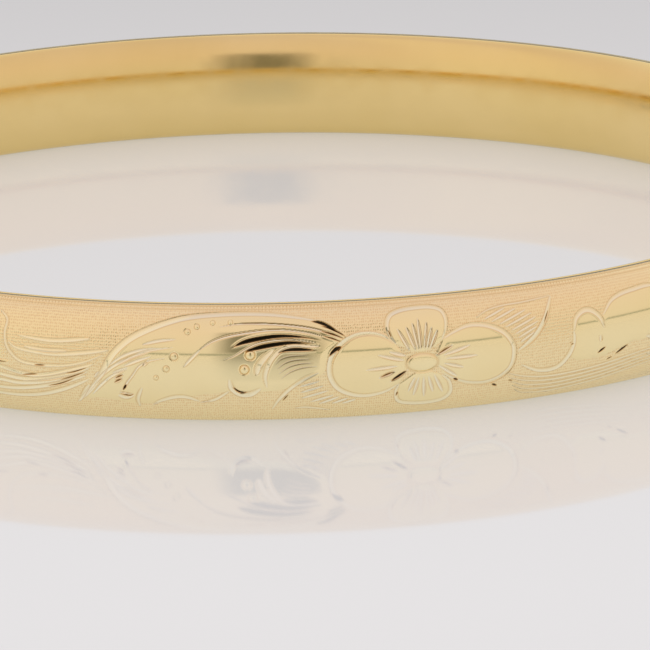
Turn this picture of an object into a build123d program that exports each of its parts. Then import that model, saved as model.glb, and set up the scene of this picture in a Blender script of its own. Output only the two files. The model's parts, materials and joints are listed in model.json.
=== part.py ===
from build123d import *

import os
from math import atan2, degrees, hypot, sqrt

# A hinged oval-tube bangle: an engraved front half and a plain back half, in millimetres.
# +Z is the wrist axis, and the origin is the centre of the wrist opening, half way up the band.
# The engraved half lies on the -Y side, the hinge on the +X side and the clasp on the -X side.
# Every "radial" figure is measured outwards from the tube's centreline circle.

# Driving dimensions of the band.
BAND_WIDTH = 6.0
CENTRELINE_RADIUS = 30.65
OUTER_BULGE = 1.55
INNER_BULGE = 1.25
INNER_FLAT = 1.2
EDGE_FLAT = 0.4
WALL = 0.4

# Clearances.
SOLDER_FILM = 0.01
JOINT_GAP = 0.06

# Hinge.
PIN_RADIAL = 0.8
PIN_RADIUS = 0.4
PIN_HEAD_RADIUS = 0.6
PIN_HEAD_HEIGHT = 0.2
KNUCKLE_RADIUS = 0.8
KNUCKLE_COUNT = 5
KNUCKLE_STACK = 5.0
KNUCKLE_GAP = 0.05
RUNNING_CLEARANCE = 0.03
SEAT_RADIUS = 0.9
HINGE_BLOCK_DEPTH = 1.7
WEB_START, WEB_END = 200, 290

# Clasp.
PLUG_DEPTH = 1.2
MOUTH_THICKNESS = 0.5
TONGUE_WIDTH = 2.6
LEAF_THICKNESS = 0.24
BASE_LEAF_RADIAL = -0.36
TONGUE_TIP = 5.6
FOLD_START = 5.45
FOLD_RISE = 0.1
BEND_RELIEF = 0.12
LEAF_FREE_END = 0.62
LEAF_FREE_TOP = 0.60
SLOT_CLEARANCE = 0.1
SLOT_TOP = 0.65
SLOT_BOTTOM = -0.42
NECK_WIDTH = 1.0
NECK_START, NECK_END = 0.75, 1.75
NOTCH_WIDTH = 1.3
NOTCH_LENGTH = 2.15
THUMB_WIDTH = 2.2
THUMB_LENGTH = 1.7
THUMB_BOTTOM, THUMB_TOP = 2.0, 2.5
GUIDE_WALL = 0.2
GUIDE_END = 6.6

HALF = BAND_WIDTH / 2
HINGE_X = CENTRELINE_RADIUS + PIN_RADIAL
TONGUE_REACH = HINGE_X + CENTRELINE_RADIUS
HUGE = 100


def slab(x0, x1, y0, y1, z0, z1):
    """A box between two corners."""
    middle = Pos((x0 + x1) / 2, (y0 + y1) / 2, (z0 + z1) / 2)
    return middle * Box(x1 - x0, y1 - y0, z1 - z0)


def side(name):
    """The half space of one half of the bangle, short of the joint plane by half the gap."""
    if name == "front":
        return slab(-HUGE, HUGE, -HUGE, -JOINT_GAP / 2, -HUGE, HUGE)
    return slab(-HUGE, HUGE, JOINT_GAP / 2, HUGE, -HUGE, HUGE)


def half_section(bulge, inset, towards):
    """One side of the tube's cross-section: half an ellipse whose top and bottom are lapped flat."""
    taller = HALF / sqrt(1 - (EDGE_FLAT / 2 / bulge) ** 2)
    ellipse = Ellipse(bulge - inset, taller - inset)
    return ellipse & Pos(towards * HUGE / 2, 0) * Rectangle(HUGE, BAND_WIDTH - 2 * inset)


def tube_section(inset):
    """The tube's cross-section in the XZ plane, shrunk by inset on every side."""
    outer = half_section(OUTER_BULGE, inset, 1)
    # The inner ellipse is a little deeper than the bulge, and the comfort flat cuts its tip off.
    deeper = INNER_BULGE / sqrt(1 - (INNER_FLAT / BAND_WIDTH) ** 2)
    inner = half_section(deeper, inset, -1)
    inner &= Pos(HUGE / 2 - INNER_BULGE + inset, 0) * Rectangle(HUGE, HUGE)
    return Plane.XZ * Pos(CENTRELINE_RADIUS, 0) * (outer + inner)


def ring_of(section):
    """A full turn of a section about the wrist axis."""
    return revolve(section, Axis.Z, 360)


def cylinder_at(x, radius, z0, z1):
    """An upright cylinder on the line through (x, 0)."""
    return Pos(x, 0, (z0 + z1) / 2) * Cylinder(radius, z1 - z0)


def hinge_seat():
    """The round channel that both halves leave for the knuckles."""
    return cylinder_at(HINGE_X, SEAT_RADIUS, -HUGE, HUGE)


def thumb_notch():
    """The open-ended slot in the back half that the thumb piece's neck slides out of."""
    inside = -(CENTRELINE_RADIUS + SLOT_TOP - SLOT_CLEARANCE)
    half = NOTCH_WIDTH / 2
    return slab(-HUGE, inside, -1, NOTCH_LENGTH, -half, half)


def wall_ring():
    return ring_of(tube_section(0)) - ring_of(tube_section(WALL))


def outer_shell(name):
    """The outer sheet of one half, soldered to its liner along the band's two edges."""
    shell = wall_ring() - cylinder_at(0, CENTRELINE_RADIUS + SOLDER_FILM / 2, -HUGE, HUGE)
    shell = (shell & side(name)) - hinge_seat()
    return shell - thumb_notch() if name == "back" else shell


def inner_liner(name):
    """The inner sheet of one half, which lies on the wrist."""
    liner = wall_ring() & cylinder_at(0, CENTRELINE_RADIUS - SOLDER_FILM / 2, -HUGE, HUGE)
    return (liner & side(name)) - hinge_seat()


def plug(name, x_side, depth):
    """A solid end stop inside the tube, depth deep from the joint plane."""
    core = ring_of(tube_section(WALL + SOLDER_FILM)) & side(name)
    reach = JOINT_GAP / 2 + depth
    y0, y1 = (-reach, 0) if name == "front" else (0, reach)
    x0, x1 = (0, HUGE) if x_side > 0 else (-HUGE, 0)
    return core & slab(x0, x1, y0, y1, -HUGE, HUGE)


def hinge_block(name):
    return plug(name, 1, HINGE_BLOCK_DEPTH) - hinge_seat()


def knuckle(index):
    """One knuckle and the web that solders it to its own half. Even ones belong to the front."""
    pitch = (KNUCKLE_STACK + KNUCKLE_GAP) / KNUCKLE_COUNT
    z0 = -KNUCKLE_STACK / 2 + index * pitch
    z1 = z0 + pitch - KNUCKLE_GAP
    in_front = index % 2 == 0
    bore = PIN_RADIUS + (SOLDER_FILM if in_front else RUNNING_CLEARANCE)
    barrel = cylinder_at(HINGE_X, KNUCKLE_RADIUS, z0, z1)
    sector = CenterArc((0, 0), SEAT_RADIUS - SOLDER_FILM, WEB_START, WEB_END - WEB_START)
    outline = sector + Line(sector @ 1, (0, 0)) + Line((0, 0), sector @ 0)
    web = Pos(HINGE_X, 0, z0) * extrude(make_face(outline), z1 - z0)
    if not in_front:
        web = mirror(web, Plane.XZ)
    return barrel + web - cylinder_at(HINGE_X, bore, -HUGE, HUGE)


def hinge_pin():
    """A plain pin with both ends peened into low heads."""
    end = KNUCKLE_STACK / 2 + SOLDER_FILM
    pin = cylinder_at(HINGE_X, PIN_RADIUS, -end, end)
    for foot in (-end - PIN_HEAD_HEIGHT, end):
        pin += cylinder_at(HINGE_X, PIN_HEAD_RADIUS, foot, foot + PIN_HEAD_HEIGHT)
    rims = [e for e in pin.edges().filter_by(GeomType.CIRCLE) if abs(e.center().Z) > end + 0.1]
    return fillet(rims, PIN_HEAD_HEIGHT * 0.7)


def arc_band(radial, thickness, y0, y1, width):
    """A strip curved about the hinge pin, so that it slides through the mouth as the hinge turns."""
    inner = TONGUE_REACH + radial
    outer = inner + thickness
    ring = cylinder_at(HINGE_X, outer, -width / 2, width / 2)
    ring -= cylinder_at(HINGE_X, inner, -HUGE, HUGE)
    return ring & slab(-HUGE, 0, y0, y1, -HUGE, HUGE)


def tongue_root():
    return -(PLUG_DEPTH + JOINT_GAP / 2) + 0.05


def tongue_base_leaf():
    """The lower leaf, soldered into the front half, with the rolled fold at its tip."""
    leaf = arc_band(BASE_LEAF_RADIAL, LEAF_THICKNESS, tongue_root(), TONGUE_TIP, TONGUE_WIDTH)
    fold_x = HINGE_X - sqrt((TONGUE_REACH + BASE_LEAF_RADIAL + LEAF_THICKNESS) ** 2 - TONGUE_TIP**2)
    fold = Pos(fold_x, TONGUE_TIP, 0) * Cylinder(LEAF_THICKNESS, TONGUE_WIDTH)
    return leaf + fold


def front_clasp_plug():
    """The front half's end stop, slotted for the tongue's root."""
    slot = arc_band(
        BASE_LEAF_RADIAL - SOLDER_FILM,
        LEAF_THICKNESS + 2 * SOLDER_FILM,
        tongue_root() - SOLDER_FILM,
        1,
        TONGUE_WIDTH + 2 * SOLDER_FILM,
    )
    return plug("front", -1, PLUG_DEPTH) - slot


def leaf_pivot():
    """Where the spring leaf bends, just short of the fold and clear of the base leaf, as (x, y)."""
    base_top = TONGUE_REACH + BASE_LEAF_RADIAL + LEAF_THICKNESS
    base_x = HINGE_X - sqrt(base_top**2 - FOLD_START**2)
    return base_x - FOLD_RISE - LEAF_THICKNESS / 2, FOLD_START


def tongue_spring_leaf():
    """The upper leaf: it rises from the fold to its free end just behind the mouth's lip."""
    bend_x, bend_y = leaf_pivot()
    run_x = -(CENTRELINE_RADIUS + LEAF_FREE_TOP - LEAF_THICKNESS / 2) - bend_x
    run_y = LEAF_FREE_END - bend_y
    length = hypot(run_x, run_y)
    lying_along_x = slab(
        BEND_RELIEF,
        length,
        -LEAF_THICKNESS / 2,
        LEAF_THICKNESS / 2,
        -TONGUE_WIDTH / 2,
        TONGUE_WIDTH / 2,
    )
    return Pos(bend_x, bend_y, 0) * Rot(0, 0, degrees(atan2(run_y, run_x))) * lying_along_x


def thumb_piece():
    """A neck on the spring leaf and the rounded pad that a thumb presses."""
    foot = CENTRELINE_RADIUS + LEAF_FREE_TOP + SOLDER_FILM
    pad_low, pad_high = CENTRELINE_RADIUS + THUMB_BOTTOM, CENTRELINE_RADIUS + THUMB_TOP
    half = NECK_WIDTH / 2
    neck = slab(-pad_low, -foot, NECK_START, NECK_END, -half, half)
    centre = (NECK_START + NECK_END) / 2
    pad = slab(
        -pad_high,
        -pad_low,
        centre - THUMB_LENGTH / 2,
        centre + THUMB_LENGTH / 2,
        -THUMB_WIDTH / 2,
        THUMB_WIDTH / 2,
    )
    pad = fillet(pad.edges().filter_by(Axis.X), 0.6)
    pad = fillet(pad.faces().sort_by(Axis.X)[0].edges(), 0.22)
    return neck + pad


def mouth_opening():
    """The slot that the whole tongue passes, from its lower lip to its upper one."""
    half = TONGUE_WIDTH / 2 + SLOT_CLEARANCE
    low, high = CENTRELINE_RADIUS + SLOT_BOTTOM, CENTRELINE_RADIUS + SLOT_TOP
    return slab(-high, -low, -1, 1, -half, half)


def clasp_mouth_plate():
    """The back half's end plate, with the tongue's slot and the open notch for the neck."""
    return plug("back", -1, MOUTH_THICKNESS) - mouth_opening() - thumb_notch()


def clasp_guide_box():
    """The sheet box behind the mouth plate that the tongue slides into."""
    start = JOINT_GAP / 2 + MOUTH_THICKNESS + SOLDER_FILM
    half = TONGUE_WIDTH / 2 + SLOT_CLEARANCE

    def shell_of(wall, y_end):
        low = CENTRELINE_RADIUS + SLOT_BOTTOM - wall
        high = CENTRELINE_RADIUS + SLOT_TOP + wall
        outer = cylinder_at(0, high, -half - wall, half + wall)
        ring = outer - cylinder_at(0, low, -HUGE, HUGE)
        return ring & slab(-HUGE, 0, start if wall else 0, y_end, -HUGE, HUGE)

    box = shell_of(GUIDE_WALL, GUIDE_END) - shell_of(0, GUIDE_END - GUIDE_WALL)
    return box - thumb_notch()


def save(name, shape):
    """Writes one node, holding only its solids."""
    solids = shape.solids()
    shape = solids[0] if len(solids) == 1 else Compound(children=list(solids))
    export_step(shape, os.path.join("parts", name + ".step"))


def main():
    os.makedirs("parts", exist_ok=True)
    for name in ("front", "back"):
        save(name + "_outer_shell", outer_shell(name))
        save(name + "_inner_liner", inner_liner(name))
        save(name + "_hinge_block", hinge_block(name))
    for index in range(KNUCKLE_COUNT):
        owner = "front" if index % 2 == 0 else "back"
        save(f"{owner}_hinge_knuckle_{index + 1}", knuckle(index))
    save("hinge_pin", hinge_pin())
    save("front_clasp_plug", front_clasp_plug())
    save("tongue_base_leaf", tongue_base_leaf())
    save("tongue_spring_leaf", tongue_spring_leaf())
    save("thumb_piece", thumb_piece())
    save("clasp_mouth_plate", clasp_mouth_plate())
    save("clasp_guide_box", clasp_guide_box())
    x, y = leaf_pivot()
    print(f"hinge axis at x {HINGE_X:.3f}; leaf pivot at x {x:.4f}, y {y:.4f}")


main()
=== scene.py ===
"""Looks for the hinged bangle: the engraved front half, its golds, the studio and the camera.

Lengths here are millimetres until MM turns them into metres. A place on the engraved band is
(u, z): u is measured round the band from the middle of the front, positive towards the hinge,
and z is the height above the middle of the band.
"""
import json
from math import cos, pi, radians, sin, sqrt

import bpy
import numpy as np
from mathutils import Matrix, Vector


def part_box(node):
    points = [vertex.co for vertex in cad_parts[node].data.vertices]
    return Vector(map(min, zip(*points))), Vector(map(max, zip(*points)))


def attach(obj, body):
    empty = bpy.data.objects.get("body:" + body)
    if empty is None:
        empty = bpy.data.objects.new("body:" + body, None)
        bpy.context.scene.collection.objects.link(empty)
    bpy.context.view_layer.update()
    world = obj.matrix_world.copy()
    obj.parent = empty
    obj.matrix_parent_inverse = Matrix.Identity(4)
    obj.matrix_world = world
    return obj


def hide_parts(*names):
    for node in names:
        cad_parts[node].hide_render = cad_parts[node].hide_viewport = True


MM = 0.001

# The tube's section, as the frame has it.
OUTER_BULGE = 1.55
INNER_BULGE = 1.25
EDGE_FLAT = 0.4
WALL = 0.4
INNER_FLAT = 1.2
HINGE_RADIAL = 0.8
SEAT_RADIUS = 0.9
JOINT_GAP = 0.06
SOLDER_FILM = 0.01
# The sheets' meshes: how far from a rim extra points keep its edge sharp, how softly the
# comfort flat meets the curve, and the length that gives way to the joint's shape at each end.
RIM_HOLD = 0.02
FLAT_EASE = 0.06
END_LENGTH = 4.0
SECTION_SAMPLES = 4001
BACK_ROWS = 13
LINER_ROWS = 81
LINER_COLUMNS = 721

# The engraving's grid, and the step along a curve.
GRID = 0.033
PROFILE_SAMPLES = 2001
CURVE_STEP = 0.04

# The marks. Depths, heights and widths are in millimetres. A shade is painted shade: it runs from
# 0 to 1, and is warm up to a half and black at 1. Cuts and ribbons also get painted highlights.
# A share is of the mark's own width, height or radius.
EDGE_LINE = 0.028
EDGE_SHADE = 0.3
CUT_SHADE_SHARE = 0.35
TROUGH_WALL = 0.06
TROUGH_BLACK_EDGE = 0.035
TROUGH_BURR = 0.016
TROUGH_BURR_AWAY = 0.05
RIBBON_BURR = 0.014
RIBBON_BURR_SHARE = 1.15
RIBBON_SHADE = 0.14
BURR_WIDTH = 0.035
POLISH_EDGE = 0.04
RING_DEPTH_SHARE = 0.55
RING_RADIUS_SHARE = 1.08
RING_WIDTH_SHARE = 0.14
RING_SHADE_RADIUS_SHARE = 1.05
RING_SHADE_WIDTH_SHARE = 0.12
TAPER_LEAST = 0.02
HALF_WIDTH_LEAST = 1e-4

# The border: the heights of its ruled line and dots, the room between its rows of dots, how
# strongly the first and second row at the top and the row at the bottom are struck, and the
# slow swell of the dots round the band.
BORDER_LINE = 2.84
BORDER_DOTS = 2.92
DOT_ROW_STEP = 0.17
DOT_ROW_WIDTH = 0.045
FIRST_ROW, SECOND_ROW, LOW_ROW = 1.0, 0.7, 0.6
DOT_PITCH = 0.18
DOT_DEPTH = 0.015
DOT_SHADE = 0.6
BORDER_SWELL = 14.5
SWELL_PEAK = 0.8
SWELL_MEAN = 0.6
SWELL_RANGE = 0.4
RULED_WIDTH = 0.03
RULED_DEPTH = 0.012
RULED_SHADE = 0.25
MARGIN_SHADE = 0.28
PLAIN_MARGIN = 0.3
END_LINE = 1.8

# The stippled ground.
DOTS_PER_MM = 8.8
DOT_HEIGHT = 0.72
DOT_RANDOMNESS = 0.3
GROUND_DEPTH = 0.04

# The camera.
CAMERA_DISTANCE = 359.3
CAMERA_ELEVATION = 14.715
CAMERA_YAW = 0.502
CAMERA_PITCH = 15.260
CAMERA_ROLL = -1.029
LENS = 363.5


# ---------------------------------------------------------------- the frame

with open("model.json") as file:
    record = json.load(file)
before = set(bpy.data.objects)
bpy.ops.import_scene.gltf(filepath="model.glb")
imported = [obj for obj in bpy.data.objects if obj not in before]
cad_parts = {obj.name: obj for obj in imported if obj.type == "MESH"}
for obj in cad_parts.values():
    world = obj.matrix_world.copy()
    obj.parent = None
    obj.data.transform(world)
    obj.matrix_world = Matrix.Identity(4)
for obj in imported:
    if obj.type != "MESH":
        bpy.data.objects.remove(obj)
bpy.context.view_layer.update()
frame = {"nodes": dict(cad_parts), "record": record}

shell_low, shell_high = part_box("front_outer_shell")
OUTER_RADIUS = -shell_low.y / MM
HALF = shell_high.z / MM
CENTRELINE = OUTER_RADIUS - OUTER_BULGE
HINGE_X = CENTRELINE + HINGE_RADIAL
HALF_LENGTH = OUTER_RADIUS * pi / 2
BAND_WIDTH = 2 * HALF


# ---------------------------------------------------------------- the camera

def place_camera():
    """The camera, aimed by yaw, pitch and roll from a point in front of the band."""
    data = bpy.data.cameras.new("camera")
    data.lens = LENS
    data.sensor_width = 36
    data.clip_start = 0.01
    data.clip_end = 10
    camera = bpy.data.objects.new("camera", data)
    bpy.context.scene.collection.objects.link(camera)
    yaw, pitch, roll = radians(CAMERA_YAW), radians(CAMERA_PITCH), radians(CAMERA_ROLL)
    elevation = radians(CAMERA_ELEVATION)
    forward = Vector((sin(yaw) * cos(pitch), cos(yaw) * cos(pitch), -sin(pitch)))
    level = forward.cross(Vector((0, 0, 1))).normalized()
    upright = level.cross(forward)
    right = cos(roll) * level + sin(roll) * upright
    up = -sin(roll) * level + cos(roll) * upright
    turn = Matrix((right, up, -forward)).transposed().to_4x4()
    distance = CAMERA_DISTANCE * MM
    place = Vector((0, -distance * cos(elevation), distance * sin(elevation) - HALF * MM))
    camera.matrix_world = Matrix.Translation(place) @ turn
    bpy.context.scene.camera = camera


# ---------------------------------------------------------------- the engraving

class Relief:
    """The height of the engraved surface over an even grid, with masks for its finishes, its
    painted highlights and its painted shade.
    """

    def __init__(self):
        self.columns = int(2 * HALF_LENGTH / GRID) + 1
        offset, height = section_side(OUTER_BULGE, 0, PROFILE_SAMPLES)
        arc = np.concatenate([[0], np.cumsum(np.hypot(np.diff(offset), np.diff(height)))])
        self.rows = int(arc[-1] / GRID) + 1
        self.s = np.linspace(0, arc[-1], self.rows)
        self.z = np.interp(self.s, arc, height)
        self.u = np.linspace(-HALF_LENGTH, HALF_LENGTH, self.columns)
        shape = (self.columns, self.rows)
        self.height = np.zeros(shape)
        self.polish = np.zeros(shape)
        self.bright = np.zeros(shape)
        self.shade = np.zeros(shape)
        self.ground = np.zeros(shape)

    def mark(self, layer, here, values):
        """Raises a mask to some values where they are higher."""
        mask = getattr(self, layer)
        mask[here] = np.maximum(mask[here], values)

    def on_arc(self, points):
        """(u, z) places as (u, arc length) ones, so that widths are true on the curved band."""
        p = np.array(points, float)
        return np.stack([p[:, 0], np.interp(p[:, 1], self.z, self.s)], 1)

    def window(self, points, margin):
        """The slices of the grid round some places, and the grid's own places there."""
        low, high = points.min(0) - margin, points.max(0) + margin
        a, b = np.searchsorted(self.u, [low[0], high[0]])
        c, d = np.searchsorted(self.s, [low[1], high[1]])
        here = np.s_[a:b, c:d]
        u, s = np.meshgrid(self.u[a:b], self.s[c:d], indexing="ij")
        return here, u, s


def smooth(points):
    """A Catmull-Rom curve through some points, evenly sampled."""
    p = np.array(points, float)
    if len(p) == 2:
        count = max(2, int(np.hypot(*(p[1] - p[0])) / CURVE_STEP) + 1)
        return p[0] + np.linspace(0, 1, count)[:, None] * (p[1] - p[0])
    ends = np.vstack([2 * p[0] - p[1], p, 2 * p[-1] - p[-2]])
    pieces = []
    for a, b, c, d in zip(ends, ends[1:], ends[2:], ends[3:]):
        count = max(2, int(np.hypot(*(c - b)) / CURVE_STEP))
        t = np.linspace(0, 1, count, endpoint=False)[:, None]
        pieces.append(
            0.5 * (2 * b + (c - a) * t + (2 * a - 5 * b + 4 * c - d) * t**2
                   + (3 * b - 3 * c + d - a) * t**3)
        )
    return np.vstack(pieces + [p[-1:]])


def nearest(u, s, line):
    """Distance to a line, how far along it that is from 0 to 1, and which side it lies on."""
    best = np.full(u.shape, 1e9)
    along = np.zeros(u.shape)
    side = np.zeros(u.shape)
    run = np.concatenate([[0], np.cumsum(np.hypot(*np.diff(line, axis=0).T))])
    for i, (a, b) in enumerate(zip(line, line[1:])):
        d = b - a
        length = np.hypot(*d)
        if length < 1e-9:
            continue
        du, ds = u - a[0], s - a[1]
        t = np.clip((du * d[0] + ds * d[1]) / length**2, 0, 1)
        gap = np.hypot(du - t * d[0], ds - t * d[1])
        closer = gap < best
        best = np.where(closer, gap, best)
        along = np.where(closer, (run[i] + t * length) / run[-1], along)
        side = np.where(closer, np.sign(d[0] * ds - d[1] * du), side)
    return best, along, side


def taper(along, heavy):
    """How a graver's cut swells: thin at both ends and widest at the share called heavy."""
    up = np.clip(along / max(heavy, TAPER_LEAST), 0, 1)
    down = np.clip((1 - along) / max(1 - heavy, TAPER_LEAST), 0, 1)
    return np.sqrt(np.sin(np.minimum(up, down) * pi / 2))


def cut(relief, points, width=0.07, depth=0.03, heavy=0.5, lean=0.0, soot=0.35):
    """A tapered V-cut, lightened inside as a painted highlight, with painted shade at its bottom
    and along its edges. Lean moves the V's bottom towards the left of the line's direction.
    """
    line = smooth(relief.on_arc(points))
    here, u, s = relief.window(line, width + 0.1)
    gap, along, side = nearest(u, s, line)
    half = np.maximum(width / 2 * taper(along, heavy), HALF_WIDTH_LEAST)
    strength = half / (width / 2)
    across = gap * side / half
    v = np.where(across > lean, (1 - across) / (1 - lean), (1 + across) / (1 + lean))
    relief.height[here] -= depth * np.clip(v, 0, 1) * strength
    inside = np.clip((1 - np.abs(across)) * 4, 0, 1)
    relief.mark("polish", here, inside)
    # The cut's inside is painted as a highlight, and its bottom as painted shade.
    relief.mark("bright", here, inside)
    bottom = np.clip(1 - np.abs(across - lean) / CUT_SHADE_SHARE, 0, 1)
    relief.mark("shade", here, soot * strength * bottom)
    outline(relief, here, gap, half, strength)


def outline(relief, here, gap, half, strength):
    """The fine dark line of painted shade along the edges of a cut."""
    relief.mark("shade", here, EDGE_SHADE * strength * np.exp(-(((gap - half) / EDGE_LINE) ** 2)))


def trough(relief, points, width=0.12, depth=0.05, heavy=0.5):
    """A deep cut painted black inside as painted shade, with a raised burr along both sides."""
    line = smooth(relief.on_arc(points))
    here, u, s = relief.window(line, width + 0.15)
    gap, along, _ = nearest(u, s, line)
    half = np.maximum(width / 2 * taper(along, heavy) ** 2, HALF_WIDTH_LEAST)
    strength = half / (width / 2)
    inside = np.clip((half - gap) / TROUGH_WALL + 0.3, 0, 1)
    relief.height[here] -= depth * inside * strength
    burr = np.exp(-(((gap - half - TROUGH_BURR_AWAY) / BURR_WIDTH) ** 2))
    relief.height[here] += TROUGH_BURR * strength * burr
    relief.mark("polish", here, np.clip((half - gap) / POLISH_EDGE + 1.5, 0, 1))
    # The inside is painted black as painted shade.
    black = np.clip((half - gap) / TROUGH_BLACK_EDGE + 0.5, 0, 1)
    relief.mark("shade", here, black * np.clip(strength * 2, 0, 1))


def ribbon(relief, points, width=0.2, depth=0.05, heavy=0.5):
    """A broad cut: one wide sloping facet between two fine edges of painted shade, and a raised
    burr.
    The facet carries a painted highlight on one side and a little painted shade on the other.
    """
    line = smooth(relief.on_arc(points))
    here, u, s = relief.window(line, width + 0.15)
    gap, along, side = nearest(u, s, line)
    half = np.maximum(width / 2 * taper(along, heavy) ** 0.7, HALF_WIDTH_LEAST)
    across = gap * side / half
    inside = np.clip((1 - np.abs(across)) * 6, 0, 1)
    strength = half / (width / 2)
    relief.height[here] -= depth * (0.5 + 0.5 * np.clip(across, -1, 1)) * inside * strength
    burr = np.exp(-(((gap - half * RIBBON_BURR_SHARE) / BURR_WIDTH) ** 2))
    relief.height[here] += RIBBON_BURR * strength * burr
    relief.mark("polish", here, inside)
    # A painted highlight across the facet, fading to painted shade on its other side.
    relief.mark("bright", here, inside * (0.55 - 0.45 * np.clip(across, -1, 1)))
    relief.mark("shade", here, inside * RIBBON_SHADE * np.clip(across, 0, 1))
    outline(relief, here, gap, half, strength)


def inside_of(u, s, loop):
    """Which grid places are inside a closed line."""
    inside = np.zeros(u.shape, bool)
    for a, b in zip(loop, np.roll(loop, -1, 0)):
        crosses = (a[1] > s) != (b[1] > s)
        span = np.where(abs(b[1] - a[1]) < 1e-9, 1e-9, b[1] - a[1])
        inside ^= crosses & (u < (b[0] - a[0]) * (s - a[1]) / span + a[0])
    return inside


def petal(relief, points, crown=0.02, softness=0.25):
    """A polished area that stands above the stippled ground and is gently crowned."""
    closed = list(points) + [points[0]]
    line = smooth(relief.on_arc(closed))
    here, u, s = relief.window(line, 0.3)
    inside = inside_of(u, s, line)
    gap, _, _ = nearest(u, s, line)
    signed = np.where(inside, gap, -gap)
    rise = np.clip(signed / softness, 0, 1)
    rise = rise * rise * (3 - 2 * rise)
    relief.height[here] += crown * rise
    relief.mark("polish", here, np.clip(signed / POLISH_EDGE + 0.5, 0, 1))


def bead(relief, u0, z0, radius, height=0.05, stretch=1.0, soot=0.45):
    """A small dome in a struck ring, with painted shade along the ring."""
    centre = relief.on_arc([(u0, z0)])
    here, u, s = relief.window(centre, radius * max(1, stretch) + 0.12)
    r = np.hypot((u - centre[0, 0]) / stretch, s - centre[0, 1]) / radius
    dome = height * np.sqrt(np.clip(1 - r**2, 0, 1))
    ring = np.exp(-(((r - RING_RADIUS_SHARE) / RING_WIDTH_SHARE) ** 2))
    relief.height[here] += dome - RING_DEPTH_SHARE * height * ring
    relief.mark("polish", here, np.clip((1.2 - r) * 6, 0, 1))
    # Painted shade along the struck ring.
    dark = np.exp(-(((r - RING_SHADE_RADIUS_SHARE) / RING_SHADE_WIDTH_SHARE) ** 2))
    relief.mark("shade", here, soot * dark)


def fan(relief, starts, ends, **how):
    """A row of cuts from points along one line to points along another."""
    for start, end in zip(starts, ends):
        cut(relief, [start, end], **how)


def moved(points, du):
    """A motif's points, moved round the band."""
    return [(u + du, z) for u, z in points]


# ---- motifs, each drawn about the middle of the front and repeated round the band

LEFT_PETAL = [
    (6.3, 1.0), (5.8, 1.38), (5.1, 1.58), (4.3, 1.52), (3.6, 1.15), (3.1, 0.55), (2.95, -0.05),
    (3.05, -0.65), (3.45, -1.2), (4.2, -1.55), (5.0, -1.62), (5.8, -1.45), (6.45, -1.1),
    (6.9, -0.1),
]
RIGHT_PETAL = [
    (8.8, 1.05), (9.4, 1.35), (10.2, 1.58), (11.1, 1.5), (12.0, 1.1), (12.5, 0.5), (12.6, -0.1),
    (12.4, -0.8), (11.8, -1.28), (11.0, -1.48), (10.1, -1.38), (9.4, -1.1), (8.8, -0.75),
    (8.4, 0.1),
]
TOP_PETAL = [
    (6.35, 1.0), (6.02, 1.45), (5.95, 1.95), (6.15, 2.35), (6.7, 2.55), (7.5, 2.62), (8.3, 2.6),
    (8.85, 2.42), (9.05, 2.0), (8.98, 1.5), (8.75, 1.0), (7.6, 0.5),
]
BOTTOM_PETAL = [
    (6.5, -1.1), (6.35, -1.55), (6.5, -2.05), (7.1, -2.25), (8.0, -2.3), (8.8, -2.18), (9.2, -1.8),
    (9.1, -1.2), (8.7, -0.8), (7.6, -0.5),
]


def flower(relief, du):
    """A four-petalled flower with a smooth oval boss and cuts that fan out of it."""
    for points in (LEFT_PETAL, RIGHT_PETAL, TOP_PETAL, BOTTOM_PETAL):
        placed = moved(points, du)
        petal(relief, placed)
        ribbon(relief, placed[:-1], width=0.29, depth=0.065, heavy=0.5)
    top = [((6.45, 1.72), (7.05, 0.6)), ((6.9, 1.8), (7.35, 0.6)), ((7.25, 1.95), (7.5, 0.62)),
           ((7.56, 2.15), (7.62, 0.62)), ((8.0, 1.95), (7.8, 0.62)), ((8.25, 1.7), (7.95, 0.62)),
           ((8.55, 1.55), (8.1, 0.6))]
    bottom = [((7.3, -0.8), (6.98, -1.55)), ((7.5, -0.8), (7.25, -1.8)),
              ((7.75, -0.8), (7.82, -1.9)), ((8.0, -0.8), (8.28, -1.7)),
              ((8.3, -0.75), (8.8, -1.75))]
    left = [((5.4, 0.48), (6.75, 0.12)), ((6.0, 0.6), (6.85, 0.35)), ((4.8, -0.25), (6.4, -0.15)),
            ((5.45, -0.7), (6.3, -0.4)), ((6.0, -0.95), (6.95, -0.38))]
    right = [((8.4, 0.25), (9.3, 0.7)), ((8.8, 0.22), (10.2, 0.6)), ((8.9, 0.04), (10.6, 0.05)),
             ((8.8, -0.2), (9.85, -0.5)), ((8.55, -0.3), (9.5, -0.95))]
    # Each group of cuts has its own strength of painted shade.
    for group, soot in ((top, 0.6), (bottom, 0.25), (left, 0.3), (right, 0.3)):
        for pair in group:
            cut(relief, moved(pair, du), width=0.2, depth=0.05, heavy=0.55, lean=0.4, soot=soot)
    bead(relief, 7.68 + du, -0.06, 0.45, height=0.06, stretch=1.75, soot=0.2)


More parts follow.
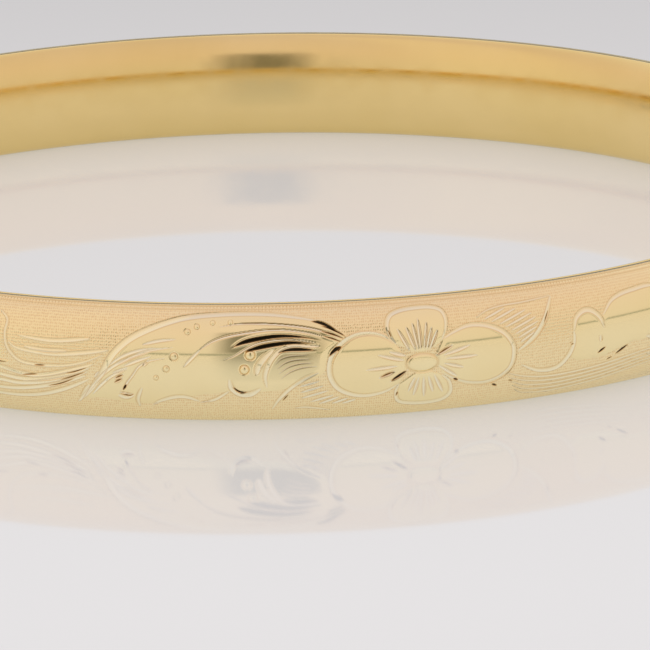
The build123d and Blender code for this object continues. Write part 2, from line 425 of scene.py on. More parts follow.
FINE_SWEEPS = [
    ([(-2.6, 2.08), (-1.5, 2.22), (0.0, 2.2), (1.5, 2.05), (2.6, 1.82), (3.5, 1.46)],
     0.13, 0.04, 0.7),
    ([(-3.6, 0.95), (-2.9, 1.4), (-2.0, 1.68), (-0.6, 1.88), (0.5, 1.92), (1.7, 1.79), (2.85, 1.5)],
     0.14, 0.05, 0.3),
    ([(-2.35, 0.48), (-1.8, 0.7), (-1.2, 1.05), (-0.6, 1.32), (0.3, 1.45), (1.2, 1.45),
      (2.3, 1.28)],
     0.12, 0.035, 0.5),
]
DEEP_SWEEPS = [
    ([(-1.95, 1.1), (-1.3, 1.38), (-0.4, 1.56), (0.5, 1.64), (1.5, 1.58), (2.65, 1.36)],
     0.24, 0.22),
    ([(-1.4, 0.85), (-0.9, 1.02), (-0.3, 1.16), (0.4, 1.26), (1.2, 1.31), (2.4, 1.18)], 0.24, 0.3),
    ([(0.32, 0.76), (0.7, 0.92), (1.2, 0.98), (1.9, 0.94), (2.38, 0.9)], 0.19, 0.5),
    ([(2.02, 2.3), (2.6, 2.2), (3.0, 2.02), (3.5, 1.74)], 0.18, 0.45),
    ([(2.5, 2.08), (3.2, 1.86), (3.9, 1.45)], 0.1, 0.5),
    ([(2.5, 1.84), (3.2, 1.64), (3.8, 1.36)], 0.09, 0.5),
    ([(2.6, 1.6), (3.15, 1.44), (3.65, 1.22)], 0.08, 0.5),
    ([(2.9, 0.5), (3.1, 0.74), (3.35, 0.92), (3.65, 1.04)], 0.2, 0.6),
]
HAIR_LINES = [
    [(0.25, 0.25), (0.55, 0.52), (1.1, 0.66), (2.0, 0.66)],
    [(0.3, 0.0), (0.75, 0.32), (1.3, 0.46), (2.1, 0.46)],
    [(0.4, -0.25), (0.9, 0.1), (1.5, 0.26), (2.2, 0.26)],
    [(0.5, -0.5), (1.0, -0.15), (1.6, 0.05), (2.3, 0.08)],
]


def feather(relief, du):
    """The deep parallel sweeps painted black as painted shade, the curled stem under them and the
    small leaf with its painted highlights.
    """
    for points, width, depth, heavy in FINE_SWEEPS:
        cut(relief, moved(points, du), width, depth, heavy, lean=0.5, soot=0.8)
    for points, width, heavy in DEEP_SWEEPS:
        trough(relief, moved(points, du), width, 0.06, heavy)
    for points in HAIR_LINES:
        cut(relief, moved(points, du), width=0.07, depth=0.015, soot=0.2)
    curl = [(-0.2, -0.95), (-0.28, -0.4), (-0.16, 0.1), (0.1, 0.58), (0.5, 0.95), (1.1, 1.15),
            (2.5, 1.1)]
    drop = [(-0.72, -0.3), (-0.6, 0.15), (-0.3, 0.58), (0.15, 0.98)]
    ribbon(relief, moved(curl, du), width=0.27, depth=0.06, heavy=0.4)
    ribbon(relief, moved(drop, du), width=0.34, depth=0.07, heavy=0.3)
    crescent = [(-2.06, -0.5), (-1.95, -0.98), (-1.55, -1.3), (-1.0, -1.32), (-0.5, -1.0)]
    ribbon(relief, moved(crescent, du), width=0.34, depth=0.06)
    inner = [(-2.0, -0.85), (-1.6, -1.14), (-1.2, -1.2), (-0.8, -1.08)]
    cut(relief, moved(inner, du), width=0.07, depth=0.05)
    for u, z, radius in ((-1.0, 0.74, 0.23), (-1.3, 0.0, 0.22)):
        bead(relief, u + du, z, radius, height=0.09)
    for u, z, radius in ((-5.75, -0.45, 0.12), (-5.22, 0.03, 0.15), (-4.82, 0.66, 0.18),
                         (-4.15, 1.86, 0.14), (-3.68, 2.1, 0.13), (-2.88, 2.28, 0.12),
                         (-1.98, 2.3, 0.12)):
        bead(relief, u + du, z, radius, height=0.05)


def broad_leaf(relief, du):
    """The long leaf whose rib, lightened with a painted highlight, climbs from the lower edge and
    runs along the top.
    """
    body = [(-9.6, -1.7), (-8.8, -0.7), (-8.1, 0.5), (-7.3, 1.3), (-6.3, 1.9), (-5.0, 2.35),
            (-3.4, 2.6), (-1.5, 2.62), (0.5, 2.5), (2.3, 2.25), (3.7, 1.5), (2.9, 0.6),
            (2.6, -0.3), (1.0, -1.0), (-0.4, -1.2), (-2.2, -1.2), (-4.4, -1.5), (-5.9, -1.85),
            (-7.0, -1.9), (-8.4, -1.7)]
    petal(relief, moved(body, du), crown=0.03, softness=0.35)
    rib = [(-9.95, -1.98), (-9.2, -1.25), (-8.6, -0.4), (-8.05, 0.55), (-7.5, 1.15), (-6.9, 1.58),
           (-6.2, 1.92), (-5.4, 2.22), (-4.4, 2.48), (-3.2, 2.62), (-1.6, 2.68), (0.0, 2.64),
           (1.4, 2.48), (2.4, 2.3)]
    ribbon(relief, moved(rib, du), width=0.36, depth=0.07, heavy=0.3)
    veins = [
        [(-6.45, 1.2), (-5.6, 1.4), (-4.7, 1.5)],
        [(-8.2, 0.05), (-7.5, 0.55), (-6.6, 0.9), (-5.6, 1.05)],
        [(-7.7, 0.15), (-6.9, 0.58), (-6.1, 0.85)], [(-7.4, 0.08), (-6.7, 0.38), (-6.0, 0.62)],
        [(-8.0, -0.3), (-7.6, -0.14), (-7.2, 0.02)], [(-7.92, -0.58), (-7.4, -0.34)],
        [(-7.9, -0.78), (-7.45, -0.55)], [(-6.4, 0.12), (-6.1, 0.48)],
        [(-8.95, -0.58), (-8.7, -0.26)],
        [(-4.35, 0.12), (-4.0, 0.5), (-3.5, 1.0)],
        [(-9.5, -1.6), (-8.9, -0.85), (-8.2, -0.15), (-7.3, 0.42), (-6.2, 0.88), (-4.9, 1.1)],
        [(-9.1, -1.5), (-8.6, -0.95), (-8.0, -0.45), (-7.2, -0.05)],
    ]
    for line in veins:
        cut(relief, moved(line, du), width=0.17, depth=0.05, heavy=0.4, lean=0.5, soot=0.15)
    stem = [(-7.45, -1.14), (-7.25, -0.78), (-6.95, -0.38), (-6.6, 0.1), (-6.05, 0.4), (-5.3, 0.55)]
    cut(relief, moved(stem, du), width=0.13, depth=0.06, heavy=0.12, lean=0.5)
    lobes = [
        ([(-7.75, -1.45), (-7.4, -1.55), (-6.95, -1.42)], 0.3),
        ([(-6.72, -2.1), (-6.75, -1.6), (-6.5, -1.0)], 0.22),
        ([(-6.0, -1.92), (-5.5, -1.68), (-4.8, -1.48), (-4.2, -1.5), (-3.6, -1.72)], 0.24),
        ([(-3.4, -1.75), (-2.8, -1.6), (-2.1, -1.15)], 0.18),
    ]
    for line, width in lobes:
        ribbon(relief, moved(line, du), width=width, depth=0.05)
    nicks = [
        [(-6.02, -1.98), (-5.7, -1.86)], [(-3.6, -1.8), (-3.0, -1.7)], [(-7.7, -1.3), (-6.9, -1.4)],
    ]
    for line in nicks:
        cut(relief, moved(line, du), width=0.1, depth=0.07, heavy=0.4)


def tail_leaf(relief, du):
    """The slim curled leaf that sweeps in from the left, with its parallel hair lines."""
    curl = [(-14.2, 2.4), (-13.75, 2.02), (-13.8, 1.4), (-13.72, 0.85), (-13.45, 0.4), (-12.9, 0.0),
            (-12.0, -0.12), (-11.0, -0.1), (-10.2, 0.0), (-9.4, 0.22), (-8.5, 0.6)]
    ribbon(relief, moved(curl, du), width=0.18, depth=0.05, heavy=0.25)
    sweeps = [
        [(-13.6, 0.95), (-13.2, 0.7), (-12.4, 0.56), (-11.0, 0.5), (-9.6, 0.64), (-8.2, 0.86)],
        [(-12.7, 0.78), (-11.6, 0.66), (-10.4, 0.7)],
        [(-13.0, 1.3), (-12.0, 1.2), (-10.9, 1.18), (-9.2, 1.38)],
        [(-15.6, -0.1), (-14.0, -0.4), (-12.5, -0.68), (-11.4, -0.58), (-10.2, -0.28), (-9.0, 0.1)],
        [(-15.8, -0.55), (-14.2, -0.78), (-12.8, -0.94), (-11.4, -0.8), (-10.0, -0.4),
         (-9.2, -0.1)],
        [(-15.8, -0.95), (-14.0, -1.1), (-13.0, -1.18), (-11.6, -1.0), (-10.4, -0.7), (-9.3, -0.3)],
        [(-15.8, -1.4), (-14.0, -1.52), (-12.6, -1.42), (-11.0, -1.06), (-9.4, -0.52)],
        [(-15.4, -1.8), (-13.4, -1.88), (-12.0, -1.74), (-10.8, -1.4), (-9.9, -1.02),
         (-9.25, -0.7)],
        [(-9.85, -1.95), (-9.5, -1.35), (-9.25, -1.0)],
    ]
    for line in sweeps:
        ribbon(relief, moved(line, du), width=0.24, depth=0.06, heavy=0.7)


FINE_BLACK = [
    [(-11.6, -1.24), (-10.8, -1.04), (-9.9, -0.66)], [(-10.6, -0.5), (-10.0, -0.35), (-9.2, -0.04)],
    [(-10.9, -0.88), (-10.2, -0.64), (-9.3, -0.28)], [(-12.9, -0.72), (-11.9, -0.62)],
    [(-14.6, 0.0), (-14.1, -0.1), (-13.6, -0.12)], [(-12.2, -0.14), (-11.5, -0.12)],
    [(-7.9, -0.58), (-7.4, -0.34)], [(-7.95, -0.8), (-7.45, -0.55)],
    [(-7.7, -1.4), (-7.2, -1.48), (-6.9, -1.36)],
    [(5.45, -0.7), (6.3, -0.4)], [(8.4, 0.25), (9.3, 0.7)], [(6.0, 1.7), (6.15, 1.3)],
    [(12.3, -1.5), (12.6, -1.58)], [(15.8, -0.1), (16.0, -0.05)], [(18.0, -1.25), (18.4, -1.12)],
    [(6.45, -1.5), (6.35, -1.8)], [(14.35, 1.2), (14.7, 1.85)], [(0.55, -1.75), (0.9, -1.35)],
]
BOLD_BLACK = [
    [(-7.5, -1.2), (-7.28, -0.85)], [(6.0, -0.95), (6.95, -0.38)], [(9.3, -1.05), (9.6, -1.2)],
    [(11.4, -1.6), (11.75, -1.75)], [(17.4, -0.8), (17.95, -0.5)], [(18.5, -1.05), (19.4, -0.6)],
    [(-1.95, -0.9), (-1.55, -1.2), (-1.1, -1.22)],
]


def black_strokes(relief, du):
    """The short accents: deep cuts painted black as painted shade."""
    for strokes, width in ((FINE_BLACK, 0.06), (BOLD_BLACK, 0.12)):
        for line in strokes:
            trough(relief, moved(line, du), width, depth=0.035)


def small_leaves(relief, du):
    """The leaf below the feather and the one at the flower's right."""
    lower = [(0.05, -2.2), (0.4, -1.65), (0.95, -1.08), (1.6, -0.62), (2.4, -0.25)]
    ribbon(relief, moved(lower, du), width=0.22, depth=0.05, heavy=0.6)
    starts = [(1.45, -0.98), (1.5, -1.3), (1.55, -1.62), (2.0, -1.85), (2.45, -1.98), (3.1, -2.0),
              (3.6, -2.02)]
    ends = [(2.45, -0.72), (2.65, -0.98), (2.9, -1.25), (3.15, -1.52), (3.45, -1.62), (3.9, -1.72),
            (4.3, -1.82)]
    fan(relief, moved(starts, du), moved(ends, du), width=0.16, depth=0.04, lean=0.4, soot=0.1)
    tip = [(1.2, -2.18), (1.65, -2.14), (2.3, -2.22), (3.0, -2.36)]
    ribbon(relief, moved(tip, du), width=0.15, depth=0.04)
    right = [(15.0, 2.42), (14.7, 1.9), (14.35, 1.3), (13.85, 0.7), (13.3, 0.28), (12.85, 0.02)]
    top = [(10.7, 1.92), (11.3, 2.18), (12.2, 2.32), (13.4, 2.36), (15.0, 2.46)]
    ribbon(relief, moved(right, du), width=0.3, depth=0.06, heavy=0.6)
    ribbon(relief, moved(top, du), width=0.13, depth=0.035)
    starts = [(11.1, 1.78), (11.5, 1.64), (11.9, 1.46), (12.2, 1.28), (12.5, 1.08), (12.7, 0.88),
              (12.85, 0.66), (12.95, 0.42)]
    ends = [(12.3, 2.2), (12.9, 2.12), (13.45, 2.0), (13.75, 1.82), (13.95, 1.6), (14.02, 1.36),
            (13.95, 1.12), (13.75, 0.85)]
    fan(relief, moved(starts, du), moved(ends, du), width=0.15, depth=0.04, lean=0.4, soot=0.1)
    for k in range(5):
        drop = 0.26 * k
        line = [(12.2 + 0.15 * k, -1.1 - drop), (13.4, -1.45 - 0.9 * drop),
                (15.0, -1.62 - 0.85 * drop), (17.5, -1.5 - 0.8 * drop),
                (20.0, -1.2 - 0.75 * drop), (22.0, -1.05 - 0.7 * drop)]
        ribbon(relief, moved(line, du), width=0.14, depth=0.04, heavy=0.3)


def second_spray(relief, du):
    """Two overlapping petals past the small leaf, and the stem that rises into them."""
    body = [(15.7, -0.6), (16.0, 0.1), (16.0, 0.7), (16.2, 1.2), (16.7, 1.5), (17.2, 1.42),
            (17.65, 1.05), (17.95, 1.2), (18.4, 1.7), (19.1, 1.98), (20.0, 2.05), (21.0, 2.1),
            (21.6, 1.5), (21.6, 0.2), (20.6, -0.5), (19.6, -0.5), (18.2, -0.9), (17.0, -1.0),
            (16.2, -0.95)]
    petal(relief, moved(body, du), crown=0.015)
    arch = [(16.02, 0.6), (16.2, 1.2), (16.7, 1.52), (17.2, 1.45), (17.65, 1.05), (17.85, 0.5)]
    stem = [(13.0, -0.75), (14.0, -1.2), (15.0, -1.2), (15.65, -0.7), (16.0, 0.0), (16.02, 0.6)]
    mound = [(17.85, 1.15), (18.4, 1.72), (19.1, 1.98), (20.0, 2.08), (21.0, 2.12), (21.8, 1.9)]
    tick = [(17.6, 0.15), (17.62, -0.2)]
    curl = [(20.5, -0.4), (21.2, -0.5), (21.8, -0.4)]
    for line, width in ((arch, 0.3), (stem, 0.26), (mound, 0.26), (tick, 0.2), (curl, 0.28)):
        ribbon(relief, moved(line, du), width=width, depth=0.05, heavy=0.6)


MOTIF_PITCH = 36.5
MOTIFS = (
    broad_leaf, tail_leaf, small_leaves, second_spray, flower, feather, black_strokes,
)


def engrave():
    """The whole pattern, repeated round the band."""
    relief = Relief()
    for du in (-MOTIF_PITCH, 0, MOTIF_PITCH):
        for motif in MOTIFS:
            motif(relief, du)
    return relief


def border(relief):
    """Rows of struck dots along both edges, a ruled line along the top and one near each joint.
    The dots, the ruled line and the margin above the top dots are darkened with painted shade.
    """
    s_line, s_dots, s_low = np.interp([BORDER_LINE, BORDER_DOTS, -BORDER_LINE], relief.z, relief.s)
    line = np.exp(-(((relief.s - s_line) / RULED_WIDTH) ** 2))
    beat = 0.5 + 0.5 * np.cos(2 * pi * relief.u / DOT_PITCH)
    swell = SWELL_MEAN + SWELL_RANGE * np.cos(2 * pi * (relief.u - SWELL_PEAK) / BORDER_SWELL)
    rows = ((s_dots, FIRST_ROW), (s_dots - DOT_ROW_STEP, SECOND_ROW), (s_low, LOW_ROW))
    for centre, strength in rows:
        row = np.exp(-(((relief.s - centre) / DOT_ROW_WIDTH) ** 2))
        dots = strength * np.outer(beat**3 * swell, row)
        relief.height -= DOT_DEPTH * dots
        relief.shade = np.maximum(relief.shade, DOT_SHADE * dots)
    for u_end in (END_LINE - HALF_LENGTH, HALF_LENGTH - END_LINE):
        ruled = [(u_end, -BORDER_LINE), (u_end, BORDER_LINE)]
        cut(relief, ruled, width=0.22, depth=0.05)
    margin = np.clip((relief.s - s_dots) / 0.05, 0, 1)
    relief.shade = np.maximum(relief.shade, MARGIN_SHADE * margin)
    relief.height -= RULED_DEPTH * line[None, :]
    relief.shade = np.maximum(relief.shade, RULED_SHADE * line[None, :])


def settle_edges(relief):
    """Fades the engraving out before the band's edges and sinks the stippled ground."""
    s = np.minimum(relief.s, relief.s[-1] - relief.s)
    edge = np.clip((s - PLAIN_MARGIN) / 0.2, 0, 1)[None, :]
    ends = np.clip((HALF_LENGTH - END_LINE - np.abs(relief.u)) / 0.1, 0, 1)[:, None]
    ground = (1 - relief.polish) * edge * ends
    relief.height = relief.height * edge * ends - GROUND_DEPTH * ground
    for layer in ("bright", "shade"):
        setattr(relief, layer, getattr(relief, layer) * edge * ends)
    border(relief)
    # The margins outside the engraving take the ground's matt finish too.
    relief.ground = np.maximum(ground, (1 - edge) * ends)


# ---------------------------------------------------------------- meshes

def end_angle(radius, at_hinge):
    """How far round from its half's middle a sheet runs at some radius, in radians."""
    straight = pi / 2 - np.arcsin(JOINT_GAP / 2 / radius)
    # The sine of the angle at which a circle of this radius meets the hinge seat.
    meets = (radius**2 + HINGE_X**2 - SEAT_RADIUS**2) / (2 * radius * HINGE_X)
    if not at_hinge or meets >= 1:
        return straight
    return min(straight, np.arcsin(meets))


def section_side(bulge, inset, count, flat=0.0):
    """Radial offsets and heights up one side of the tube's section, evenly spaced along it."""
    taller = HALF / sqrt(1 - (EDGE_FLAT / 2 / bulge) ** 2)
    wide, tall = bulge - inset, taller - inset
    top = min(1, (HALF - inset) / tall)
    angle = np.linspace(-1, 1, SECTION_SAMPLES) * np.arcsin(top)
    offset, height = wide * np.cos(angle), tall * np.sin(angle)
    if flat:
        proud = offset - (bulge * sqrt(1 - (flat / BAND_WIDTH) ** 2) - inset)
        offset = offset - FLAT_EASE * np.logaddexp(0, proud / FLAT_EASE)
    arc = np.concatenate([[0], np.cumsum(np.hypot(np.diff(offset), np.diff(height)))])
    even = np.linspace(0, arc[-1], count)
    return np.interp(even, arc, offset), np.interp(even, arc, height)


def sheet_section(towards, shown_rows):
    """The closed outline of a shell (towards 1) or a liner (-1), starting with its shown face."""
    flat = INNER_FLAT if towards < 0 else 0.0
    bulge = OUTER_BULGE if towards > 0 else INNER_BULGE / sqrt(1 - (INNER_FLAT / BAND_WIDTH) ** 2)
    shown, shown_z = section_side(bulge, 0, shown_rows, flat)
    back, back_z = section_side(bulge, WALL, BACK_ROWS, flat)
    seam = SOLDER_FILM / 2
    back = np.maximum(back, seam)
    rim = np.array([shown[-1] - RIM_HOLD, seam + RIM_HOLD, seam, seam])
    rim_z = np.array([HALF, HALF, HALF - RIM_HOLD, HALF - WALL])
    offset = np.concatenate([shown, rim, back[::-1], rim[::-1]])
    height = np.concatenate([shown_z, rim_z, back_z[::-1], -rim_z[::-1]])
    # A liner is the mirror image, so its outline is turned over to run the same way round.
    return CENTRELINE + towards * offset, towards * height


def swept(name, section, columns, half, lift=None):
    """A sheet that follows the wrist from one joint to the other, with its shown face lifted."""
    radius, z = section
    share = np.linspace(-1, 1, columns)
    steady = 1 - END_LENGTH / HALF_LENGTH
    knots = [-1, -steady, steady, 1]
    angle = np.stack([
        np.interp(share, knots, [-end_angle(r, half == "back"), -steady * pi / 2,
                                 steady * pi / 2, end_angle(r, half == "front")])
        for r in radius
    ], 1)
    radius, z = np.tile(radius, (columns, 1)), np.tile(z, (columns, 1))
    if lift is not None:
        rows = lift.shape[1]
        run_r, run_z = np.gradient(radius[0, :rows]), np.gradient(z[0, :rows])
        length = np.hypot(run_r, run_z)
        radius[:, :rows] += lift * run_z / length
        z[:, :rows] -= lift * run_r / length
    turn = 1 if half == "front" else -1
    points = np.stack([turn * radius * np.sin(angle), -turn * radius * np.cos(angle), z], -1)
    index = np.arange(points.size // 3).reshape(columns, -1)
    after = np.roll(index, -1, 1)
    quads = np.stack([index[:-1], index[1:], after[1:], after[:-1]], -1).reshape(-1, 4)
    return object_from(name, points.reshape(-1, 3) * MM, quads, [index[0], index[-1, ::-1]])


def object_from(name, points, quads, caps=()):
    """A smooth mesh of quads, with flat many-sided caps."""
    sizes = np.array([4] * len(quads) + [len(cap) for cap in caps], np.int32)
    corners = np.concatenate([quads.ravel(), *caps]).astype(np.int32)
    mesh = bpy.data.meshes.new(name)
    mesh.vertices.add(len(points))
    mesh.vertices.foreach_set("co", points.astype(np.float32).ravel())
    mesh.loops.add(len(corners))
    mesh.loops.foreach_set("vertex_index", corners)
    mesh.polygons.add(len(sizes))
    starts = np.concatenate([[0], np.cumsum(sizes)[:-1]]).astype(np.int32)
    mesh.polygons.foreach_set("loop_start", starts)
    mesh.update(calc_edges=True)
    mesh.validate()
    mesh.polygons.foreach_set("use_smooth", sizes == 4)
    piece = bpy.data.objects.new(name, mesh)
    bpy.context.scene.collection.objects.link(piece)
    return piece


def give(piece, name, values):
    """A number for each vertex, which the material reads by name."""
    layer = piece.data.attributes.new(name, "FLOAT", "POINT")
    layer.data.foreach_set("value", values.astype(np.float32).ravel())


# ---------------------------------------------------------------- materials

def node_tree(name):
    """A new material, with its nodes and links."""
    material = bpy.data.materials.new(name)
    material.use_nodes = True
    return material, material.node_tree.nodes, material.node_tree.links


def noise(nodes, links, scale, detail, stretch=(1, 1, 1)):
    """Noise over the object's own coordinates, in metres."""
    where = nodes.new("ShaderNodeTexCoord")
    mapping = nodes.new("ShaderNodeMapping")
    mapping.inputs["Scale"].default_value = stretch
    texture = nodes.new("ShaderNodeTexNoise")
    texture.inputs["Scale"].default_value = scale
    texture.inputs["Detail"].default_value = detail
    links.new(where.outputs["Object"], mapping.inputs["Vector"])
    links.new(mapping.outputs["Vector"], texture.inputs["Vector"])
    return texture.outputs["Fac"]


def ramp(nodes, links, source, stops):
    """A colour read off some stops by a number from 0 to 1."""
    node = nodes.new("ShaderNodeValToRGB")
    band = node.color_ramp
    while len(band.elements) < len(stops):
        band.elements.new(0.5)
    for element, (place, colour) in zip(band.elements, stops):
        element.position = place
        element.color = (*colour, 1)
    links.new(source, node.inputs["Fac"])
    return node.outputs["Color"]


def scalar(nodes, links, source, low, high, start=0.0, end=1.0):
    """Maps a number from start..end to low..high."""
    node = nodes.new("ShaderNodeMapRange")
    links.new(source, node.inputs["Value"])
    for key, value in (("From Min", start), ("From Max", end), ("To Min", low), ("To Max", high)):
        node.inputs[key].default_value = value
    return node.outputs["Result"]


# Noise scales, in waves to the metre, and bump depths, in metres.
TONE_SCALE = 160
WEAR_SCALE = 900
WEAR_DEPTH = 0.00005
MARK_DEPTH = 0.00003
MARK_BUMP = 0.4
POLISH_ROUGHNESS = 0.08
GROUND_ROUGHNESS = 0.2


def gold(name, light, deep, rough, bump=0.02, along=14):
    """Polished gold: two close tones, and faint wear lines that vary its gloss and bump."""
    material, nodes, links = node_tree(name)
    shader = nodes["Principled BSDF"]
    shader.inputs["Metallic"].default_value = 1
    tone = noise(nodes, links, TONE_SCALE, 3)
    colour = ramp(nodes, links, tone, [(0.3, deep), (0.7, light)])
    links.new(colour, shader.inputs["Base Color"])
    lines = noise(nodes, links, WEAR_SCALE, 3, stretch=(1, 1, along))
    gloss = scalar(nodes, links, lines, rough * 0.7, rough * 1.5, 0.3, 0.7)
    links.new(gloss, shader.inputs["Roughness"])
    bumps = nodes.new("ShaderNodeBump")
    bumps.inputs["Strength"].default_value = bump
    bumps.inputs["Distance"].default_value = WEAR_DEPTH
    links.new(lines, bumps.inputs["Height"])
    links.new(bumps.outputs["Normal"], shader.inputs["Normal"])
    return material


LIGHT_GOLD = (1.0, 0.88, 0.52)
DEEP_GOLD = (0.99, 0.84, 0.47)
# A paler gold for the painted highlights in the cuts.
PAINTED_HIGHLIGHT_GOLD = (1.0, 0.95, 0.70)
GROUND_GOLD = (1.0, 0.85, 0.50)
# A darker gold for the painted shade in the struck dots.
PUNCH_SHADE_GOLD = (0.89, 0.64, 0.33)
# A warm gold for light painted shade.
PAINTED_SHADE_GOLD = (0.70, 0.44, 0.18)
INNER_LIGHT = (0.78, 0.59, 0.32)
INNER_DEEP = (0.70, 0.52, 0.27)
SPRING_LIGHT = (0.82, 0.65, 0.38)
SPRING_DEEP = (0.75, 0.58, 0.33)
# The liners' gold is darker than the shell's: painted shade for the inside of the bangle.
LINER_LIGHT = (0.90, 0.70, 0.32)
LINER_DEEP = (0.86, 0.66, 0.28)
# The black of the deepest painted shade.
PAINTED_SHADE_BLACK = (0.03, 0.022, 0.012)


def attribute(nodes, name):
    """A number that give() put on the vertices."""
    node = nodes.new("ShaderNodeAttribute")
    node.attribute_name = name
    return node.outputs["Fac"]


def maths(nodes, links, operation, first, second):
    """One sum on two numbers, each a socket or a plain value."""
    node = nodes.new("ShaderNodeMath")
    node.operation = operation
    for socket, value in zip(node.inputs, (first, second)):
        if isinstance(value, (int, float)):
            socket.default_value = value
        else:
            links.new(value, socket)
    return node.outputs["Value"]


def mixed(nodes, links, share, low, high):
    """A colour that goes from low to high as share goes from 0 to 1."""
    node = nodes.new("ShaderNodeMix")
    node.data_type = "RGBA"
    links.new(share, node.inputs["Factor"])
    for socket, value in ((node.inputs[6], low), (node.inputs[7], high)):
        if isinstance(value, tuple):
            socket.default_value = (*value, 1)
        else:
            links.new(value, socket)
    return node.outputs[2]


def struck_dots(nodes, links):
    """Rows of small punch marks over the band's own millimetres: 0 in a mark and 1 between them."""
    place = nodes.new("ShaderNodeCombineXYZ")
    links.new(attribute(nodes, "round_mm"), place.inputs["X"])
    links.new(attribute(nodes, "across_mm"), place.inputs["Y"])
    stretch = nodes.new("ShaderNodeMapping")
    stretch.inputs["Scale"].default_value = (1.0, DOT_HEIGHT, 1)
    links.new(place.outputs["Vector"], stretch.inputs["Vector"])
    dots = nodes.new("ShaderNodeTexVoronoi")
    dots.inputs["Scale"].default_value = DOTS_PER_MM
    dots.inputs["Randomness"].default_value = DOT_RANDOMNESS
    links.new(stretch.outputs["Vector"], dots.inputs["Vector"])
    return scalar(nodes, links, dots.outputs["Distance"], 0, 1, 0.05, 0.5)


def engraved_gold():
    """Polished gold in the cuts and petals, and fine rows of struck dots on the ground, with
    painted highlights in the cuts and painted shade in the cuts, along their edges and in the dots.
    """
    material, nodes, links = node_tree("engraved_gold")
    shader = nodes["Principled BSDF"]
    shader.inputs["Metallic"].default_value = 1
    ground, shade, bright = (attribute(nodes, name) for name in ("ground", "shade", "bright"))
    marks = struck_dots(nodes, links)
    tone = noise(nodes, links, TONE_SCALE, 3)
    colour = ramp(nodes, links, tone, [(0.3, DEEP_GOLD), (0.7, LIGHT_GOLD)])
    # The struck dots are painted darker, as painted shade in the marks.
    stippled = mixed(nodes, links, marks, PUNCH_SHADE_GOLD, GROUND_GOLD)
    colour = mixed(nodes, links, ground, colour, stippled)
    # The cuts are lightened towards a paler gold as a painted highlight.
    colour = mixed(nodes, links, bright, colour, PAINTED_HIGHLIGHT_GOLD)
    # Light painted shade is a warm tone, and only the deepest cuts' painted shade goes on to black.
    colour = mixed(nodes, links, scalar(nodes, links, shade, 0, 1, 0, 0.5), colour, PAINTED_SHADE_GOLD)
    black = scalar(nodes, links, shade, 0, 1, 0.5, 1.0)
    links.new(mixed(nodes, links, black, colour, PAINTED_SHADE_BLACK), shader.inputs["Base Color"])
    gloss = scalar(nodes, links, ground, POLISH_ROUGHNESS, GROUND_ROUGHNESS)
    links.new(gloss, shader.inputs["Roughness"])
    bumps = nodes.new("ShaderNodeBump")
    bumps.inputs["Strength"].default_value = MARK_BUMP
    bumps.inputs["Distance"].default_value = MARK_DEPTH
    links.new(maths(nodes, links, "MULTIPLY", marks, ground), bumps.inputs["Height"])
    links.new(bumps.outputs["Normal"], shader.inputs["Normal"])
    return material


# ---------------------------------------------------------------- the studio

# The floor's reach to each side, to the front and to the back, in metres, and its whites.
FLOOR_SIDE = 1.2
FLOOR_FRONT = 0.25
FLOOR_BACK = 1.2
FLOOR_WHITES = ((0.44, 0.445, 0.455), (0.46, 0.465, 0.475))
FLOOR_GLOW = (0.40, 0.41, 0.41)

# The tent's colours by height, from 0 level with the band to 1 overhead, in front and at the
# rear, and how far back (as the direction's y) the rear's start and take over.
TENT = [
    (0.0, (0.78, 0.70, 0.64)), (0.3, (0.82, 0.70, 0.66)),
    (0.7, (0.79, 0.68, 0.69)), (0.95, (0.75, 0.66, 0.71)),
]
REAR = [
    (0.0, (0.25, 0.25, 0.26)), (0.133, (0.28, 0.28, 0.29)), (0.16, (0.63, 0.63, 0.64)),
    (0.195, (0.90, 0.905, 0.92)), (0.6, (0.86, 0.80, 0.79)), (0.95, (0.75, 0.66, 0.71)),
]
REAR_START = 0.1
REAR_FULL = 0.6

# Patches of the tent, in degrees: the warm left, the dark foot, and the block that stands for
# the photographer's camera. Turn is 0 straight in front and positive towards the hinge, and
# height is 0 level with the band and 90 overhead.
LEFT_TURN = (-75, -35)
LEFT_SOFTNESS = 8
LEFT_STRENGTH = 0.3
LEFT_LIGHT = (1.0, 0.90, 0.76)
FOOT_HEIGHT = (-90, 0.6)
FOOT_SOFTNESS = 0.5
FOOT_DARK = (0.30, 0.31, 0.26)
BLOCK_TURN = (-9, 9)
BLOCK_TURN_SOFTNESS = 2
BLOCK_HEIGHT = (1, 27)
BLOCK_HEIGHT_SOFTNESS = 1.5
BLOCK_DARK = (0.24, 0.22, 0.18)


def studio_floor():
    """A plain back-lit white acrylic sheet that ends a little in front of the band."""
    corners = [(-FLOOR_SIDE, -FLOOR_FRONT), (FLOOR_SIDE, -FLOOR_FRONT),
               (FLOOR_SIDE, FLOOR_BACK), (-FLOOR_SIDE, FLOOR_BACK)]
    points = np.array([(x, y, -HALF * MM) for x, y in corners])
    floor = object_from("floor", points, np.array([[0, 1, 2, 3]]))
    material, nodes, links = node_tree("white_acrylic")
    shader = nodes["Principled BSDF"]
    cloud = noise(nodes, links, 3, 2)
    white = mixed(nodes, links, cloud, *FLOOR_WHITES)
    links.new(white, shader.inputs["Base Color"])
    shader.inputs["Specular IOR Level"].default_value = 0
    shader.inputs["Emission Color"].default_value = (*FLOOR_GLOW, 1)
    shader.inputs["Emission Strength"].default_value = 1
    shader.inputs["Coat Weight"].default_value = 1
    shader.inputs["Coat IOR"].default_value = 1.5
    shader.inputs["Coat Roughness"].default_value = 0.05
    floor.data.materials.append(material)


def patch(nodes, links, value, low, high, soft):
    """1 where a number lies between two limits, with soft edges, and 0 elsewhere."""
    rise = scalar(nodes, links, value, 0, 1, low - soft, low + soft)
    fall = scalar(nodes, links, value, 1, 0, high - soft, high + soft)
    return maths(nodes, links, "MULTIPLY", rise, fall)


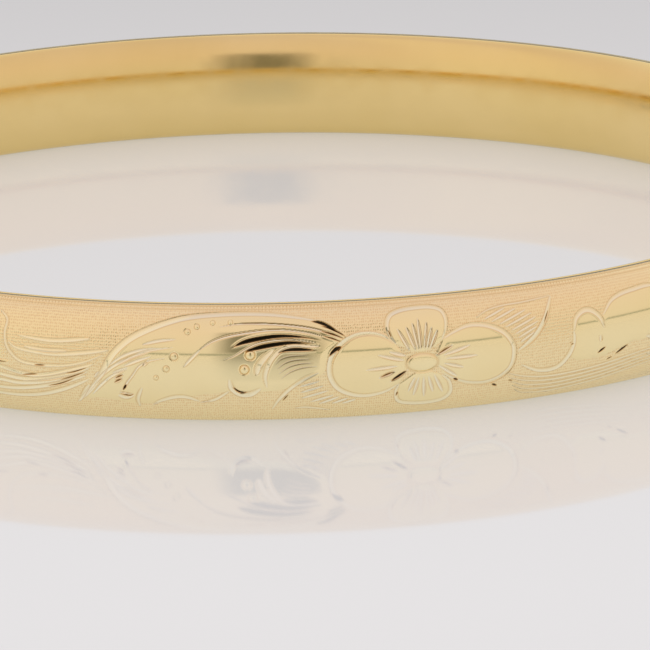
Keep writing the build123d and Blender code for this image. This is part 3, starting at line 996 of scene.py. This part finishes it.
def studio_light():
    """A white tent, warmer at the left, with the dark camera in front and a dark foot."""
    world = bpy.data.worlds.new("tent")
    bpy.context.scene.world = world
    world.use_nodes = True
    nodes, links = world.node_tree.nodes, world.node_tree.links
    background = nodes["Background"]
    where = nodes.new("ShaderNodeTexCoord")
    split = nodes.new("ShaderNodeSeparateXYZ")
    links.new(where.outputs["Generated"], split.inputs["Vector"])
    x, y, z = split.outputs
    height = maths(nodes, links, "ARCSINE", z, 0)
    height = maths(nodes, links, "DEGREES", height, 0)
    backward = maths(nodes, links, "MULTIPLY", y, -1)
    turn = maths(nodes, links, "DEGREES", maths(nodes, links, "ARCTAN2", x, backward), 0)
    share = scalar(nodes, links, height, 0, 1, 0, 90)
    tent = ramp(nodes, links, share, TENT)
    rear = ramp(nodes, links, share, REAR)
    tent = mixed(nodes, links, scalar(nodes, links, y, 0, 1, REAR_START, REAR_FULL), tent, rear)
    left = patch(nodes, links, turn, *LEFT_TURN, LEFT_SOFTNESS)
    left = maths(nodes, links, "MULTIPLY", left, LEFT_STRENGTH)
    tent = mixed(nodes, links, left, tent, LEFT_LIGHT)
    foot = patch(nodes, links, height, *FOOT_HEIGHT, FOOT_SOFTNESS)
    tent = mixed(nodes, links, foot, tent, FOOT_DARK)
    across = patch(nodes, links, turn, *BLOCK_TURN, BLOCK_TURN_SOFTNESS)
    upright = patch(nodes, links, height, *BLOCK_HEIGHT, BLOCK_HEIGHT_SOFTNESS)
    block = maths(nodes, links, "MULTIPLY", across, upright)
    tent = mixed(nodes, links, block, tent, BLOCK_DARK)
    links.new(tent, background.inputs["Color"])
    background.inputs["Strength"].default_value = 1.0


# ---------------------------------------------------------------- putting it together

def replace_sheet(piece, node, body, material):
    """Puts a piece in a CAD node's place, on its body and with its slot."""
    piece.data.materials.append(material)
    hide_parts(node)
    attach(piece, body)


# The masks' values on the parts of the shell that aren't engraved: a slight painted shade on its
# rim and back.
RIM_PAINTED_SHADE = {"shade": 0.1}


def build_front_shell():
    """The engraved outside of the front half."""
    relief = engrave()
    settle_edges(relief)
    section = sheet_section(1, relief.rows)
    piece = swept("engraved_front_shell", section, relief.columns, "front", relief.height)
    places = {"ground": relief.ground, "shade": relief.shade, "bright": relief.bright}
    places["round_mm"], places["across_mm"] = np.meshgrid(relief.u, relief.s, indexing="ij")
    hidden = np.zeros((relief.columns, len(section[0]) - relief.rows))
    for name, values in places.items():
        give(piece, name, np.hstack([values, hidden + RIM_PAINTED_SHADE.get(name, 0)]))
    replace_sheet(piece, "front_outer_shell", "front_half", engraved_gold())


def build_liners():
    """The two smooth inner sheets, which mirror each other across the ring, in a darker, deeper
    gold than the shell's as painted shade inside the bangle.
    """
    material = gold("liner_gold", LINER_LIGHT, LINER_DEEP, rough=0.15, bump=0.0, along=1)
    for half in ("front", "back"):
        piece = swept(f"{half}_smooth_liner", sheet_section(-1, LINER_ROWS), LINER_COLUMNS, half)
        replace_sheet(piece, f"{half}_inner_liner", f"{half}_half", material)


def finish_frame_nodes():
    """Gives the CAD nodes a gold for each slot."""
    finishes = {
        "polished_gold": gold("polished_gold", LIGHT_GOLD, DEEP_GOLD, rough=POLISH_ROUGHNESS),
        "hinge_gold": gold("hinge_gold", LIGHT_GOLD, DEEP_GOLD, rough=0.14, bump=0.06),
        "inner_gold": gold("inner_gold", INNER_LIGHT, INNER_DEEP, rough=0.3, bump=0.1),
        "spring_gold": gold("spring_gold", SPRING_LIGHT, SPRING_DEEP, rough=0.22, bump=0.08),
    }
    for entry in frame["record"]["subparts"]:
        if entry["material_slot"] in finishes:
            mesh = frame["nodes"][entry["node"]].data
            mesh.materials.clear()
            mesh.materials.append(finishes[entry["material_slot"]])


bpy.context.scene.view_settings.view_transform = "Standard"
place_camera()
build_front_shell()
finish_frame_nodes()
build_liners()
studio_floor()
studio_light()
